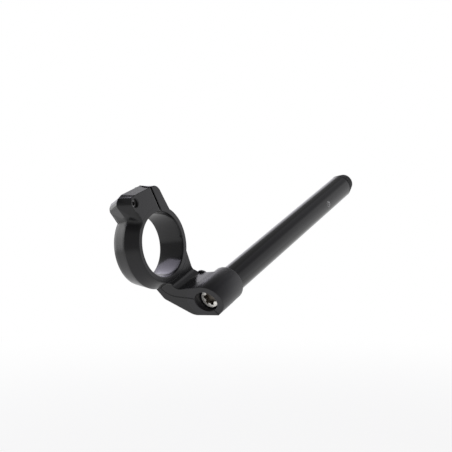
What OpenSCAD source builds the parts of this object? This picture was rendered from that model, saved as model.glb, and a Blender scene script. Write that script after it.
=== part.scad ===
// Clip-on handlebar: a split fork clamp with an arm that carries a straight bar tube.
// Origin: centre of the fork bore. +Z runs along the fork towards the near face of the clamp,
// +X points from the fork to the bar and +Y runs along the bar towards its open tip.

/* [Fork clamp] */
// Diameter of the fork tube that the clamp closes on
fork_d = 50; // [46:0.5:52]
// Height of the clamp ring along the fork
ring_h = 23.5; // [21:0.5:26]
// Wall of the ring at its near face
ring_near_t = 4.1; // [3.5:0.1:5]
// Wall of the ring at its crest, where the two drafts meet
ring_crest_t = 8.7; // [7:0.1:10]
// Wall of the ring at its far face
ring_far_t = 5; // [4.5:0.1:6]
// Height of the crest above the middle of the ring
crest_z = 1.6; // [0:0.1:3]
// Width of the slit between the two ears
slit_w = 1.9; // [1:0.1:2.5]

/* [Arm and holder] */
// Distance from the fork axis to the bar axis
bar_x = 50.5; // [49:0.1:52]
// Rise of the bar axis above the middle of the ring
bar_z = 32.4; // [31:0.1:34]
// Outside diameter of the bar holder
holder_d = 28; // [27:0.2:29]
// Position of the holder's mouth along the bar
mouth_y = 36.1; // [34:0.1:40]
// Far side of the arm where it meets the fork ring
arm_far_y = 24.3; // [23:0.1:26]
// Far side of the arm where it meets the holder
wall_far_y = 28; // [27:0.1:30]
// Radius between the ring's near face and the arm's wall
wall_fillet_r = 5; // [3:0.5:7]

/* [Bar tube] */
// Outside diameter of the bar tube
tube_d = 22.2; // [22.1:0.1:22.3]
// Inside diameter of the bar tube
tube_bore_d = 15; // [14:0.5:16]
// Position of the tube's open tip
tip_y = 270.5; // [250:0.5:290]
// Length of the taper at the tip
tip_taper = 11; // [6:0.5:14]
// Outside diameter at the end of the taper
tip_d = 17; // [16.5:0.1:19]
// Diameter of the locating hole for the switch housing
locating_d = 5; // [3:0.5:6]
// Position of the locating hole along the tube
locating_y = 208.6; // [180:0.2:230]

/* [Screws] */
// Thread diameter of the bar bolt
bar_bolt_d = 10; // [8:1:10]
// Head diameter of the bar bolt
bar_head_d = 15.6; // [14:0.1:16]
// Head height of the bar bolt
bar_head_h = 6; // [5:0.1:7]
// Diameter across the lobes of the bar bolt's socket
lobe_d = 11.2; // [9:0.1:11.4]
// Diameter of the counterbore around the bar bolt's head
counterbore_d = 18; // [17:0.1:19]
// Position of the bar bolt's outer face along the bar
bar_head_y = 8; // [7:0.1:10]
// Thread diameter of the pinch bolt
pinch_d = 8; // [6:1:8]
// Head diameter of the pinch bolt
pinch_head_d = 13; // [11:0.1:13]
// Thread diameter of the stop screw and the bracket screw
small_d = 6; // [5:1:6]
// Head diameter of the bracket screw
bracket_head_d = 11; // [10:0.1:11.6]

/* [Hidden] */

black = [0.07, 0.07, 0.08];
steel = [0.75, 0.75, 0.76];

half_h = ring_h / 2;
fork_r = fork_d / 2;
ring_near_r = fork_r + ring_near_t;
ring_crest_r = fork_r + ring_crest_t;
ring_far_r = fork_r + ring_far_t;
holder_r = holder_d / 2;
tube_r = tube_d / 2;

// Clearances and small edges
edge = 0.4;
loose = 0.05;
shoulder = 0.2;
thread_gap = 0.15;
over = 0.5;
arc_steps = 12;
ear_steps = 8;
side_steps = 4;
side_crown = 0.04;

// Ears: corners of their outlines as [distance beyond the fork bore, y, radius]
long_far = [[16.9, 6.5, 0], [16.9, -10, 4], [16.6, -15.5, 1.5], [13.3, -20.6, 4], [0.5, -15.8, 0],
            [-3, 10.5, 0]];
long_crest = [[21.5, 6.5, 0], [22.8, -17, 5], [21.4, -21.8, 1.5], [18, -26.6, 4.5], [2.6, -19.4, 0],
              [-3, 10.5, 0]];
long_near = [[19.35, 6.5, 0], [20.35, -14, 5], [19.9, -19.1, 0.8], [14.8, -21.4, 3], [-0.7, -16.2, 0],
             [-3, 10.5, 0]];
short_far = [[-3, 5, 0], [-8.1, 22.3, 0], [-2.3, 19.6, 4], [13.3, 15.5, 7], [17, 5, 0]];
short_crest = [[-3, 5, 0], [-7.4, 26.1, 0], [-1.2, 23.9, 4], [16.8, 19.2, 8], [22.3, 5, 0]];
short_near = [[-3, 5, 0], [-9.3, 22.2, 0], [-3.5, 19.9, 4], [18.2, 14.7, 8], [20, 5, 0]];

// Slit: it leans away from the fork radius
slit_angle = 8.6;
pinch_wall = 4.2;
slit_x = -(fork_r + pinch_d / 2 + pinch_wall);
slit_y = 7.9;
slit_reach = 15;

// End face of the arm and holder: a leaning plane through a point of the bar axis
end_y = 2.1;
end_lean_x = 0.29;
end_lean_z = 0.09;

// Lower facet of the end face: it stands a little proud of the upper one along the parting line
flare_step = 0.3;
flare_turn = 0.6;
flare_x = 36;
flare_z = 2;
parting_start = [28, crest_z - 2.6];
parting_knee = [bar_x - 9.5, 2.4];
parting_top = [bar_x - 4, bar_z - 9.3];
parting_out = [bar_x + 8.7, bar_z + 3.15];
parting_end = [bar_x + 15.7, bar_z + 6.1];
parting_r = 14;

// Arm profile seen along the bar
under_start = [fork_r + 5, -5.4];
under_root = [fork_r + 9, -3.7];
under_knee = [bar_x - 6.7, -1.4];
under_hip = [bar_x + 11.4, bar_z - 15.7];
outer_top = [bar_x + 13.65, bar_z + 4.9];
knee_r = 5;
hip_r = 10;
wall_x = bar_x - holder_r + 0.1;
cut_far = 60;

// The outer flat ends in a corner, from which a plane runs tangent to the holder
outer_rise = outer_top - [bar_x, bar_z];
tangent_angle = atan2(outer_rise[1], outer_rise[0]) + acos(holder_r / norm(outer_rise));
flat_angle = -atan2(outer_top[0] - under_hip[0], outer_top[1] - under_hip[1]);
flat_d = outer_rise * [cos(flat_angle), sin(flat_angle)];

// Blend between the ring and the end face at the near face: corners of its two ends
blend_near = [[32.4, -4.6], [30.4, -6.2], [29.2, -8], [28.1, -9.9], [26.2, -13], [22, -12], [27, -3]];
blend_z = half_h - 6;
blend_root = [[31.4, -4.6], [30.6, -5.4], [29.8, -7], [29.2, -9], [26.2, -12], [22, -12], [27, -3]];

// Outline of the arm's far side seen along the fork
step_start = [31, arm_far_y + 0.4];
step_end = [34.5, wall_far_y];
step_r = 6;
step_out_r = 3;

// Tube socket, web and screw lengths
web_y = bar_head_y + bar_head_h;
web_t = 5;
tube_start = web_y + web_t;
plug_l = 24;
plug_seat_d = tube_bore_d + 1;
bar_bolt_l = 27;
bar_bolt_end = web_y + bar_bolt_l;
lobes = 6;
socket_t = 4;
socket_turn = -10;
pinch_seat = 5.5;
pinch_head_h = 5;
pinch_reach = 20;
pinch_hex = 6;
stop_reach = 14.85;
stop_x = -(fork_r + stop_reach);
stop_y = -16.4;
stop_depth = 9;
stop_sink = 2;
stop_countersink = 0.5;
stop_hex = 3;
bracket_x = wall_x + 3.8;
bracket_z = half_h + 4;
bracket_head_h = 3.6;
bracket_l = 14;
bracket_hex = 4;

// Points of an arc that rounds the corner p between the points a and b
function unit(v) = v / norm(v);
function arc_of(p, a, b, r, n) =
    let (u = unit(a - p), w = unit(b - p),
         half = acos(u * w) / 2,
         c = p + unit(u + w) * r / sin(half),
         t = p + u * r / tan(half) - c,
         turn = (u[0] * w[1] - u[1] * w[0] > 0 ? -1 : 1) * (180 - 2 * half))
    [for (i = [0 : n])
        let (g = turn * i / n)
        c + [t[0] * cos(g) - t[1] * sin(g), t[0] * sin(g) + t[1] * cos(g)]];
function arc_at(a, p, b, r) = arc_of(p, a, b, r, arc_steps);

module along_y(y) {
    translate([0, y, 0]) rotate([-90, 0, 0]) children();
}

module at_bar(y) {
    translate([bar_x, y, bar_z]) rotate([-90, 0, 0]) children();
}

// A screw pocket or screw of the pinch bolt: +Z leads from the slit into the short ear
module at_pinch() {
    translate([slit_x, slit_y, 0]) rotate([-90, 0, slit_angle]) children();
}

module ring_blank() {
    rotate_extrude($fn = 180)
        polygon([[fork_r - over, -half_h], [ring_far_r, -half_h], [ring_crest_r, crest_z],
                 [ring_near_r, half_h], [fork_r - over, half_h]]);
}

// Outline of an ear from its corners; a corner of radius 0 stays sharp. A side between two rounded
// corners is split evenly and crowned a little
function corner(c) = [-(fork_r + c[0]), c[1]];
function rounded(c) =
    [for (i = [0 : len(c) - 1])
        let (p = corner(c[i]),
             a = corner(c[(i + len(c) - 1) % len(c)]),
             b = corner(c[(i + 1) % len(c)]))
        c[i][2] == 0 ? [p] : arc_of(p, a, b, c[i][2], ear_steps)];
function outline(c) =
    let (arcs = rounded(c))
    [for (i = [0 : len(arcs) - 1])
        let (last = arcs[i][len(arcs[i]) - 1],
             next = arcs[(i + 1) % len(arcs)][0],
             across = unit([last[1] - next[1], next[0] - last[0]]),
             steps = c[i][2] * c[(i + 1) % len(c)][2] == 0 ? 0 : side_steps - 1)
        each concat(arcs[i],
                    [for (k = [1 : 1 : steps])
                        last + (next - last) * k / side_steps
                            + across * side_crown * sin(180 * k / side_steps)])];

// A solid through outlines with the same count of points, given as [height, outline]
module loft(levels) {
    n = len(levels[0][1]);
    top = (len(levels) - 1) * n;
    polyhedron(
        points = [for (l = levels) for (p = l[1]) [p[0], p[1], l[0]]],
        faces = concat(
            [[for (i = [0 : n - 1]) i]],
            [[for (i = [n - 1 : -1 : 0]) top + i]],
            [for (k = [0 : n : top - n]) for (i = [0 : n - 1])
                each [[k + i, k + n + i, k + n + (i + 1) % n],
                      [k + i, k + n + (i + 1) % n, k + (i + 1) % n]]]));
}

// An ear is one loft through its outlines at the far face, the crest and the near face
module ear(far, crest, near) {
    loft([[-half_h, outline(far)], [crest_z, outline(crest)], [half_h, outline(near)]]);
}

// Section of the arm in the plane across the bar
module arm_profile() {
    polygon(concat(
        [under_start, under_root],
        arc_at(under_root, under_knee, under_hip, knee_r),
        arc_at(under_knee, under_hip, outer_top, hip_r),
        [outer_top, [bar_x + holder_r * cos(tangent_angle), bar_z + holder_r * sin(tangent_angle)],
         [bar_x, bar_z + holder_r - 1], [wall_x, bar_z]],
        arc_at([wall_x, bar_z], [wall_x, half_h], [0, half_h], wall_fillet_r),
        [[0, half_h], [0, under_start[1]]]));
}

// Outline of the arm seen along the fork
module arm_plan() {
    polygon(concat(
        [[0, -holder_r], [0, arm_far_y]],
        arc_at([0, arm_far_y], step_start, step_end, step_r),
        arc_at(step_start, step_end, [cut_far, wall_far_y], step_out_r),
        [[cut_far + holder_r, wall_far_y], [cut_far + holder_r, -holder_r]]));
}

module arm_blank() {
    intersection() {
        along_y(-holder_r) mirror([0, 1, 0])
            linear_extrude(height = mouth_y + holder_r)
                arm_profile();
        translate([0, 0, -half_h]) linear_extrude(height = 2 * cut_far) arm_plan();
    }
    at_bar(-holder_r)
        difference() {
            rotate_extrude($fn = 144)
                polygon([[0, 0], [holder_r, 0], [holder_r, mouth_y + holder_r - edge],
                         [holder_r - edge, mouth_y + holder_r], [0, mouth_y + holder_r]]);
            rotate([0, 0, -flat_angle])
                translate([flat_d, -holder_r, -over])
                    cube([holder_r, 2 * holder_r, cut_far + holder_r]);
        }
}

// Everything in front of the leaning end face; turn and step set the lower facet apart from it
module end_cut(x, z, step, turn) {
    lean = atan(end_lean_x);
    translate([x, end_y + end_lean_x * (x - bar_x) + end_lean_z * (z - bar_z) - step, z])
        rotate([-atan(end_lean_z * cos(lean)), 0, lean - turn])
            translate([-cut_far, -cut_far, -cut_far]) cube([2 * cut_far, cut_far, 2 * cut_far]);
}

// Region of the arm below the parting line, seen along the bar
module lower_region() {
    polygon(concat(
        arc_at(parting_start, parting_knee, parting_top, parting_r),
        [parting_top, parting_out, parting_end, [parting_end[0], -cut_far],
         [parting_start[0], -cut_far], parting_start]));
}

module arm() {
    difference() {
        arm_blank();
        end_cut(bar_x, bar_z, 0, 0);
    }
    difference() {
        intersection() {
            arm_blank();
            along_y(-holder_r) mirror([0, 1, 0])
                linear_extrude(height = 2 * holder_r) lower_region();
        }
        end_cut(flare_x, flare_z, flare_step, flare_turn);
    }
}

module clamp_body() {
    color(black) difference() {
        union() {
            ring_blank();
            ear(long_far, long_crest, long_near);
            ear(short_far, short_crest, short_near);
            loft([[blend_z, blend_root], [half_h, blend_near]]);
            arm();
        }
        // Fork bore with its edges broken
        rotate_extrude($fn = 180)
            polygon([[0, -half_h - over], [fork_r + edge + over, -half_h - over],
                     [fork_r, -half_h + edge], [fork_r, half_h - edge],
                     [fork_r + edge + over, half_h + over], [0, half_h + over]]);
        // Slit from the bore to the top of the ears
        translate([slit_x, slit_y, 0]) rotate([0, 0, slit_angle])
            translate([-slit_reach, -slit_w / 2, -half_h - over])
                cube([2 * slit_reach - 2, slit_w, ring_h + 2 * over]);
        // Pinch bolt: head pocket, clear hole and blind tapped hole
        at_pinch() {
            translate([0, 0, pinch_seat]) cylinder(d = pinch_head_d + 1, h = cut_far / 2, $fn = 96);
            cylinder(d = pinch_d + 0.6, h = pinch_seat + over, $fn = 72);
            translate([0, 0, -pinch_reach - 1])
                cylinder(d = pinch_d + 2 * thread_gap, h = pinch_reach + 1 + over, $fn = 72);
        }
        // Tapped hole for the stop screw
        translate([stop_x, stop_y, half_h - stop_depth]) {
            cylinder(d = small_d + 2 * thread_gap, h = stop_depth + over, $fn = 48);
            translate([0, 0, stop_depth - stop_countersink])
                cylinder(r1 = small_d / 2 + thread_gap, r2 = small_d / 2 + thread_gap + 2 * stop_countersink,
                         h = 2 * stop_countersink, $fn = 48);
        }
        // Tube socket, web hole and counterbore
        at_bar(tube_start)
            cylinder(r = tube_r - shoulder + loose, h = mouth_y - tube_start + over, $fn = 144);
        at_bar(web_y - over)
            cylinder(d = bar_bolt_d + 0.6, h = web_t + 2 * over, $fn = 72);
        at_bar(-holder_r - over)
            cylinder(d = counterbore_d, h = web_y + holder_r + over, $fn = 144);
        // Tapped hole for the bracket screw
        translate([bracket_x, wall_far_y - bracket_l - 1, bracket_z]) rotate([-90, 0, 0])
            cylinder(d = small_d + 2 * thread_gap, h = bracket_l + 1 + over, $fn = 48);
    }
}

module bar_tube() {
    color(black) difference() {
        at_bar(tube_start)
            rotate_extrude($fn = 144)
                polygon([[tube_bore_d / 2, plug_l], [plug_seat_d / 2, plug_l], [plug_seat_d / 2, 0],
                         [tube_r - shoulder, 0], [tube_r - shoulder, mouth_y - tube_start],
                         [tube_r, mouth_y - tube_start],
                         [tube_r, tip_y - tip_taper - tube_start],
                         [tip_d / 2, tip_y - tube_start],
                         [tube_bore_d / 2, tip_y - tube_start]]);
        translate([bar_x, locating_y, bar_z]) cylinder(d = locating_d, h = tube_r + over, $fn = 48);
    }
}

module tube_plug() {
    color(steel) at_bar(tube_start)
        difference() {
            cylinder(r = plug_seat_d / 2 - loose, h = plug_l, $fn = 96);
            translate([0, 0, -over])
                cylinder(d = bar_bolt_d + 2 * thread_gap, h = plug_l + 2 * over, $fn = 72);
        }
}

module bar_bolt() {
    color(steel) difference() {
        at_bar(bar_head_y)
            rotate_extrude($fn = 96)
                polygon([[0, 0], [bar_head_d / 2 - edge, 0], [bar_head_d / 2, edge],
                         [bar_head_d / 2, bar_head_h], [bar_bolt_d / 2, bar_head_h],
                         [bar_bolt_d / 2, bar_bolt_end - bar_head_y - edge],
                         [bar_bolt_d / 2 - edge, bar_bolt_end - bar_head_y],
                         [0, bar_bolt_end - bar_head_y]]);
        // Six-lobed socket
        at_bar(bar_head_y - over)
            rotate([0, 0, socket_turn]) difference() {
                cylinder(d = lobe_d, h = socket_t + over, $fn = 96);
                for (i = [0 : lobes - 1])
                    rotate([0, 0, (i + 0.5) * 360 / lobes])
                        translate([lobe_d * 0.52, 0, -over])
                            cylinder(d = lobe_d * 0.3, h = socket_t + 3 * over, $fn = 36);
            }
    }
}

module pinch_bolt() {
    color(black) at_pinch() difference() {
        rotate_extrude($fn = 96)
            polygon([[0, -pinch_reach], [pinch_d / 2 - edge, -pinch_reach],
                     [pinch_d / 2, -pinch_reach + edge], [pinch_d / 2, pinch_seat],
                     [pinch_head_d / 2, pinch_seat],
                     [pinch_head_d / 2, pinch_seat + pinch_head_h - edge],
                     [pinch_head_d / 2 - edge, pinch_seat + pinch_head_h],
                     [0, pinch_seat + pinch_head_h]]);
        translate([0, 0, pinch_seat + pinch_head_h / 2])
            cylinder(d = pinch_hex / cos(30), h = pinch_head_h, $fn = 6);
    }
}

module stop_screw() {
    color(black) translate([stop_x, stop_y, half_h - stop_depth]) difference() {
        cylinder(d = small_d, h = stop_depth - stop_sink, $fn = 48);
        translate([0, 0, stop_depth / 2])
            cylinder(d = stop_hex / cos(30), h = stop_depth, $fn = 6);
    }
}

module bracket_screw() {
    color(black) translate([bracket_x, wall_far_y, bracket_z]) rotate([-90, 0, 0])
        difference() {
            rotate_extrude($fn = 96)
                polygon([[0, -bracket_l], [small_d / 2 - edge, -bracket_l],
                         [small_d / 2, -bracket_l + edge], [small_d / 2, 0],
                         [bracket_head_d / 2, 0], [bracket_head_d / 2, bracket_head_h / 3],
                         [bracket_head_d / 2 - 1.4, bracket_head_h], [0, bracket_head_h]]);
            translate([0, 0, bracket_head_h / 3])
                cylinder(d = bracket_hex / cos(30), h = bracket_head_h, $fn = 6);
        }
}

clamp_body();
bar_tube();
tube_plug();
bar_bolt();
pinch_bolt();
stop_screw();
bracket_screw();
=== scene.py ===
"""Looks of the clip-on handlebar: finishes, softened edges, floor, lights and camera."""
import math

import bpy
from mathutils import Matrix, Vector

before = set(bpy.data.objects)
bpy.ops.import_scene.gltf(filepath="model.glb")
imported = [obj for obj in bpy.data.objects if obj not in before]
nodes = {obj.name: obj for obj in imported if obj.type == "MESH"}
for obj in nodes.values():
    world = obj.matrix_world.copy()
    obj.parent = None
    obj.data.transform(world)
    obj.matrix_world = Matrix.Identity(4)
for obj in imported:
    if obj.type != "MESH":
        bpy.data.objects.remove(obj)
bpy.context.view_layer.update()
scene = bpy.context.scene


# Shader maths

class Sock:
    """One socket with overloaded operators, so shader maths reads as a formula."""

    def __init__(self, tree, out):
        self.tree, self.out = tree, out

    def _math(self, op, *others):
        made = self.tree.nodes.new("ShaderNodeMath")
        made.operation = op
        for i, value in enumerate((self, *others)):
            if isinstance(value, Sock):
                self.tree.links.new(value.out, made.inputs[i])
            else:
                made.inputs[i].default_value = value
        return Sock(self.tree, made.outputs[0])

    def __add__(self, other):
        return self._math("ADD", other)

    __radd__ = __add__

    def __sub__(self, other):
        return self._math("SUBTRACT", other)

    def __rsub__(self, other):
        return (self * -1) + other

    def __mul__(self, other):
        return self._math("MULTIPLY", other)

    __rmul__ = __mul__

    def __truediv__(self, other):
        return self._math("DIVIDE", other)

    def power(self, other):
        return self._math("POWER", other)

    def absolute(self):
        return self._math("ABSOLUTE")

    def at_most(self, other):
        return self._math("MINIMUM", other)

    def ramp(self, low, high, to_low=0.0, to_high=1.0):
        """Smooth step from to_low at low to to_high at high."""
        made = self.tree.nodes.new("ShaderNodeMapRange")
        made.interpolation_type = "SMOOTHSTEP"
        self.tree.links.new(self.out, made.inputs["Value"])
        for name, value in (("From Min", low), ("From Max", high),
                            ("To Min", to_low), ("To Max", to_high)):
            made.inputs[name].default_value = value
        return Sock(self.tree, made.outputs["Result"])


class Paint:
    """A material being made on Object coordinates."""

    def __init__(self, name):
        self.mat = bpy.data.materials.new(name)
        self.mat.use_nodes = True
        self.tree = self.mat.node_tree
        self.bsdf = self.tree.nodes["Principled BSDF"]
        place = self.tree.nodes.new("ShaderNodeTexCoord")
        self.object = Sock(self.tree, place.outputs["Object"])

    def set_input(self, target, value):
        """Link a socket to the target input, or write a number or a colour on it."""
        if isinstance(value, Sock):
            self.tree.links.new(value.out, target)
        elif target.type == "RGBA":
            target.default_value = (*value, 1)
        else:
            target.default_value = value

    def node(self, kind, settings=(), **values):
        """A node of that kind with settings on it, and values or links on its inputs."""
        made = self.tree.nodes.new(kind)
        for key, value in dict(settings).items():
            setattr(made, key, value)
        for key, value in values.items():
            self.set_input(made.inputs[key.replace("_", " ")], value)
        return Sock(self.tree, made.outputs[0])

    def noise(self, scale, detail=3.0, rough=0.55, stretch=None):
        """Noise from 0 to 1 on the object, stretched by a scale per axis if given."""
        where = self.object
        if stretch is not None:
            where = self.node("ShaderNodeMapping", Vector=where, Scale=stretch)
        return self.node("ShaderNodeTexNoise", Vector=where, Scale=scale, Detail=detail,
                         Roughness=rough)

    def axes(self):
        split = self.tree.nodes.new("ShaderNodeSeparateXYZ")
        self.tree.links.new(self.object.out, split.inputs[0])
        return [Sock(self.tree, out) for out in split.outputs]

    def mix(self, factor, a, b):
        """Colour a where factor is 0 and b where it is 1."""
        made = self.tree.nodes.new("ShaderNodeMix")
        made.data_type = "RGBA"
        self.tree.links.new(factor.out, made.inputs["Factor"])
        ends = [i for i in made.inputs if i.type == "RGBA"]
        for socket, value in zip(ends, (a, b)):
            self.set_input(socket, value)
        return Sock(self.tree, [o for o in made.outputs if o.type == "RGBA"][0])

    def bump(self, height, distance, strength=1.0, round_by=None):
        """Bump by a height, on normals that are rounded over edges by a radius if given."""
        below = {}
        if round_by:
            below["Normal"] = self.node("ShaderNodeBevel", {"samples": 8}, Radius=round_by)
        normal = self.node("ShaderNodeBump", Height=height, Distance=distance,
                           Strength=strength, **below)
        self.tree.links.new(normal.out, self.bsdf.inputs["Normal"])

    def put(self, **values):
        for key, value in values.items():
            self.set_input(self.bsdf.inputs[key.replace("_", " ")], value)


# Places on the part, in metres

# The bar's axis
BAR_X, BAR_Z = 0.0505, 0.0324
# The locating hole along the bar, and the start of the dull end just before the taper
HOLE_Y, HOLE_R = 0.2086, 0.0025
DULL_Y = 0.258
# The bar bolt's socket about the bar's axis, and the face that it is sunk in
SOCKET_R, SOCKET_Y = 0.0055, 0.008
# Reach of the blasted finish about the bar's axis
BLAST_R = 0.0145
# The fork bore, and the turned line above a height just under the near face
BORE_R = 0.025
LINE_R, LINE_Z = 0.0293, 0.0105
# The root where the long ear meets the ring, with the reach of its softening
ROOT_X, ROOT_Y, ROOT_R = -0.0272, -0.0168, 0.004
# Rounding of the clamp body's edges: in the mesh, in the shading, and more of it in the root
EDGE_WIDTH = 0.0004
EDGE_SHADE, ROOT_SHADE = 0.0008, 0.0035


def radius(a, b):
    return (a * a + b * b).power(0.5)


def within(distance, edge, fade):
    """1 up to the edge, falling to 0 over the fade."""
    return 1 - distance.ramp(edge, edge + fade)


def anodised(name, rough, dark, light):
    """Black anodised aluminium: fine grain, faint mottle, a blasted holder, lines turned in the
    bore, a shallow turned line on the near face, and edges and root softened in the shading."""
    p = Paint(name)
    x, y, z = p.axes()
    mottle = p.noise(90.0, 4.0)
    grain = p.noise(2600.0, 2.0, 0.6)
    from_axis = radius(x, y)
    bored = within(from_axis, BORE_R + 0.0002, 0.0003)
    turned = p.noise(2200.0, 3.0, 0.6, stretch=(0.015, 0.015, 1)) * bored
    line = within((from_axis - LINE_R).absolute(), 0.0001, 0.00035)
    line = line * z.ramp(LINE_Z, LINE_Z + 0.0003)
    blasted = within(radius(x - BAR_X, z - BAR_Z), BLAST_R, 0.0015)
    root = within(radius(x - ROOT_X, y - ROOT_Y), ROOT_R, ROOT_R)
    colour = p.mix(mottle.ramp(0.35, 0.7), dark, light)
    colour = p.mix(blasted * 0.6, colour, (0.026, 0.0255, 0.03))
    grained = (mottle - 0.5) * 0.12 + (grain - 0.5) * 0.08
    p.put(Base_Color=colour, Metallic=0.0, IOR=1.45,
          Roughness=grained + blasted * 0.13 + line * 0.1 - bored * 0.1 + turned * 0.06 + rough)
    p.bump(grain * 0.3 + turned * 0.5 - line * 1.5, 0.00002, 0.6,
           round_by=root * ROOT_SHADE + EDGE_SHADE)
    return p.mat


def tube_finish():
    """Black anodised tube: lines drawn along it and rubbed paler in a few, a dull end, and a
    painted highlight at the locating hole, whose rim and inside are painted pale in place of light
    and shade."""
    p = Paint("tube_black")
    x, y, z = p.axes()
    drawn = p.noise(700.0, 3.0, 0.6, stretch=(1, 0.015, 1))
    mottle = p.noise(60.0, 4.0)
    rubbed = drawn.ramp(0.55, 0.8) * mottle.ramp(0.4, 0.65)
    colour = p.mix(rubbed, (0.006, 0.006, 0.0065), (0.02, 0.019, 0.019))
    # Painted highlight: the locating hole and a thin rim about it are painted pale grey, standing
    # in for the light on its rim and covering the shade inside it.
    hole_highlight = within(radius(x - BAR_X, y - HOLE_Y), HOLE_R, 0.0004)
    hole_highlight = hole_highlight * z.ramp(BAR_Z, BAR_Z + 0.002)
    dull = y.ramp(DULL_Y - 0.0005, DULL_Y + 0.0005)
    p.put(Base_Color=p.mix(hole_highlight, colour, (0.75, 0.75, 0.75)), Metallic=0.0, IOR=1.36,
          Roughness=(mottle - 0.5) * 0.08 + (drawn - 0.5) * 0.12 + dull * 0.6 + 0.15)
    p.bump(drawn, 0.000012, 0.5)
    return p.mat


def screw_finish(name, dark, light, rough, metal=1.0, shade_socket=False):
    """Zinc, steel or blackened metal with small stains, and painted shade darkening the bar bolt's
    socket, more so further in, if asked."""
    p = Paint(name)
    x, y, z = p.axes()
    stain = p.noise(500.0, 4.0)
    fine = p.noise(3000.0, 2.0)
    colour = p.mix(stain.ramp(0.4, 0.7), light, dark)
    if shade_socket:
        # Painted shade: the bar bolt's socket is painted dark brown-grey, darker further in, where
        # the recess would lie in shade.
        inside = within(radius(x - BAR_X, z - BAR_Z), SOCKET_R, 0.0004)
        deep = y.ramp(SOCKET_Y + 0.0002, SOCKET_Y + 0.0014)
        colour = p.mix(inside * deep * 0.9, colour, (0.11, 0.09, 0.07))
    p.put(Base_Color=colour, Metallic=metal, Roughness=(stain - 0.5) * 0.15 + rough)
    p.bump(fine, 0.000008, 0.4)
    return p.mat


black_screw = screw_finish("screw_black", (0.03, 0.03, 0.03), (0.06, 0.06, 0.062), 0.4, 0.0)
finishes = {
    "clamp_body": anodised("clamp_black", 0.23, (0.0075, 0.0075, 0.0085),
                           (0.011, 0.0105, 0.0125)),
    "bar_tube": tube_finish(),
    "tube_plug": screw_finish("plug_black", (0.02, 0.02, 0.021), (0.035, 0.035, 0.036),
                              0.35, 0.0),
    "bar_bolt": screw_finish("bolt_zinc", (0.8, 0.78, 0.73), (0.95, 0.93, 0.89), 0.42,
                             shade_socket=True),
    "pinch_bolt": black_screw,
    "bracket_screw": black_screw,
    "stop_screw": screw_finish("screw_steel", (0.2, 0.19, 0.19), (0.3, 0.3, 0.3), 0.4),
}
for name, mat in finishes.items():
    data = nodes[name].data
    data.materials.clear()
    data.materials.append(mat)


def soften(obj, width, segments=2, angle=30):
    """Round the sharp edges of a CAD piece by modifiers."""
    weld = obj.modifiers.new("weld", "WELD")
    weld.merge_threshold = 1e-6
    round_off = obj.modifiers.new("edges", "BEVEL")
    round_off.width = width
    round_off.segments = segments
    round_off.limit_method = "ANGLE"
    round_off.angle_limit = math.radians(angle)
    round_off.use_clamp_overlap = True


soften(nodes["clamp_body"], EDGE_WIDTH)


# Camera: the photograph's place, in the part's frame

FRAME_PX = 452
FOCAL_PX = 941.8
SENSOR_MM = 36
CAMERA_AT = Vector((-0.1898, -0.5337, 0.4522))
RIGHT = Vector((0.2782, 0.4926, 0.8246))
UP = Vector((-0.923, 0.3746, 0.0877))
BACK = Vector((-0.2657, -0.7855, 0.5589))

cam_data = bpy.data.cameras.new("camera")
cam_data.sensor_width = SENSOR_MM
cam_data.lens = FOCAL_PX / FRAME_PX * SENSOR_MM
cam_data.clip_start, cam_data.clip_end = 0.05, 20
cam = bpy.data.objects.new("camera", cam_data)
scene.collection.objects.link(cam)
turn = Matrix((RIGHT, UP, BACK)).transposed()
cam.matrix_world = Matrix.Translation(CAMERA_AT) @ turn.to_4x4()
scene.camera = cam


# Lights, placed by the photograph's own directions from the part's middle

MIDDLE = Vector((0.02, 0.1, 0.02))


def panel(name, azimuth, rise, far, wide, high, glow, colour=(1, 1, 1)):
    """A soft box in the direction given by degrees to the right of straight behind and degrees up,
    with that radiance."""
    a, e = math.radians(azimuth), math.radians(rise)
    level = far * math.cos(e)
    across = RIGHT * level * math.sin(a) - BACK * level * math.cos(a)
    place = MIDDLE + across + UP * far * math.sin(e)
    data = bpy.data.lights.new(name, "AREA")
    data.shape, data.size, data.size_y = "RECTANGLE", wide, high
    data.energy, data.color = glow * math.pi * wide * high, colour
    lamp = bpy.data.objects.new(name, data)
    scene.collection.objects.link(lamp)
    facing = (MIDDLE - place).normalized()
    side = facing.cross(UP).normalized()
    lamp.location = place
    lamp.rotation_euler = Matrix((side, side.cross(facing), -facing)).transposed().to_euler()


panel("back_box", -4, 17, 1.4, 1.9, 1.05, 0.54, (0.89, 0.85, 1))
panel("high_strip", -60, 45, 1.4, 1.5, 0.42, 2.6, (0.86, 0.82, 1))
panel("left_box", -66, -2, 1.35, 0.95, 1.25, 1.05)
panel("right_box", 70, 30, 1.5, 1.35, 2.0, 0.22, (0.9, 0.88, 1))


# Floor and world: white where the camera looks, dimmer behind the camera in the reflections

FLOOR_DROP = 0.2
FLOOR_HALF = 6.0
# Distances over which the floor's own white grows, from a share that keeps the shadow to all of it
GLOW_REACH, GLOW_SHARE = (0.15, 0.9), (0.85, 1.0)
# Cosines toward the camera between which reflections of the studio go from white to DIM, and the
# distances over which the floor takes part in that
BACK_HALF = (-0.45, 0.0)
DIM = 0.38
DIM_REACH = (0.25, 2.0)
# Strength of the world as soft light on the object
AMBIENT = 0.35
# Share that reflections of the world keep high up, and the cosines upward where it sets in
LID = 0.35
LID_RISE = (0.5, 0.7)


def seen_rays(tree):
    """Two masks: the camera's own rays, and those with the rays that metal or glass shows."""
    path = tree.nodes.new("ShaderNodeLightPath")
    camera, glossy, through = (Sock(tree, path.outputs[name]) for name in
                               ("Is Camera Ray", "Is Glossy Ray", "Is Transmission Ray"))
    return camera, (camera + glossy + through).at_most(1.0)


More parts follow.
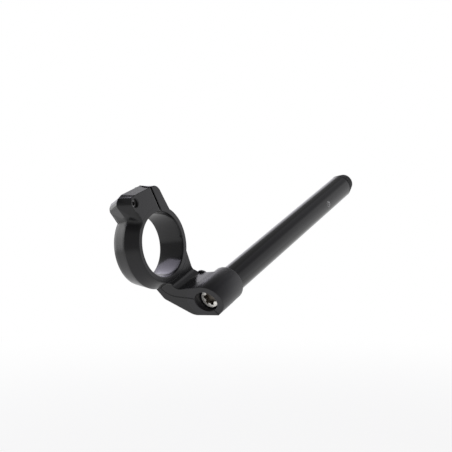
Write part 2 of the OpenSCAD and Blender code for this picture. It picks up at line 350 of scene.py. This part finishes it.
def measured(tree, how, vector, other):
    """The dot product or distance of a vector socket and a fixed vector."""
    made = tree.nodes.new("ShaderNodeVectorMath")
    made.operation = how
    tree.links.new(vector, made.inputs[0])
    made.inputs[1].default_value = other
    return Sock(tree, made.outputs["Value"])


def bare_tree(owner):
    owner.use_nodes = True
    owner.node_tree.nodes.clear()
    return owner.node_tree


def mixed_shader(tree, factor, first, second):
    made = tree.nodes.new("ShaderNodeMixShader")
    for socket, source in zip(made.inputs, (factor, first.outputs[0], second.outputs[0])):
        tree.links.new(source, socket)
    return made


base = MIDDLE - UP * FLOOR_DROP
corners = [base + (RIGHT * a + BACK * b) * FLOOR_HALF
           for a, b in ((-1, -1), (-1, 1), (1, 1), (1, -1))]
floor_mesh = bpy.data.meshes.new("floor")
floor_mesh.from_pydata([tuple(c) for c in corners], [], [(0, 1, 2, 3)])
floor = bpy.data.objects.new("floor", floor_mesh)
scene.collection.objects.link(floor)

white = bpy.data.materials.new("floor_white")
tree = bare_tree(white)
place = tree.nodes.new("ShaderNodeTexCoord").outputs["Object"]
camera_ray, shown = seen_rays(tree)
nearer = measured(tree, "DOT_PRODUCT", place, BACK) - MIDDLE.dot(BACK)
apart = measured(tree, "DISTANCE", place, base)
faded = 1 - (nearer / apart).ramp(*BACK_HALF, 0.0, 1 - DIM) * apart.ramp(*DIM_REACH)
diffuse = tree.nodes.new("ShaderNodeBsdfDiffuse")
diffuse.inputs["Color"].default_value = (0.9, 0.9, 0.9, 1)
glow = tree.nodes.new("ShaderNodeEmission")
glow.inputs["Color"].default_value = (1, 1, 1, 1)
tree.links.new((camera_ray + (1 - camera_ray) * faded).out, glow.inputs["Strength"])
lit = mixed_shader(tree, (shown * apart.ramp(*GLOW_REACH, *GLOW_SHARE)).out, diffuse, glow)
under = tree.nodes.new("ShaderNodeNewGeometry").outputs["Backfacing"]
clear = tree.nodes.new("ShaderNodeBsdfTransparent")
one_sided = mixed_shader(tree, under, lit, clear)
out = tree.nodes.new("ShaderNodeOutputMaterial")
tree.links.new(one_sided.outputs[0], out.inputs["Surface"])
floor_mesh.materials.append(white)

world = bpy.data.worlds.new("studio")
scene.world = world
tree = bare_tree(world)
way = tree.nodes.new("ShaderNodeTexCoord").outputs["Generated"]
camera_ray, shown = seen_rays(tree)
behind = measured(tree, "DOT_PRODUCT", way, BACK).ramp(*BACK_HALF, 1.0, DIM)
lid = measured(tree, "DOT_PRODUCT", way, UP).ramp(*LID_RISE, 1.0, LID)
room = tree.nodes.new("ShaderNodeBackground")
room.inputs["Color"].default_value = (1, 1, 1, 1)
strength = camera_ray + (shown - camera_ray) * behind * lid + (1 - shown) * AMBIENT
tree.links.new(strength.out, room.inputs["Strength"])
out = tree.nodes.new("ShaderNodeOutputWorld")
tree.links.new(room.outputs[0], out.inputs["Surface"])

scene.view_settings.view_transform = "Standard"
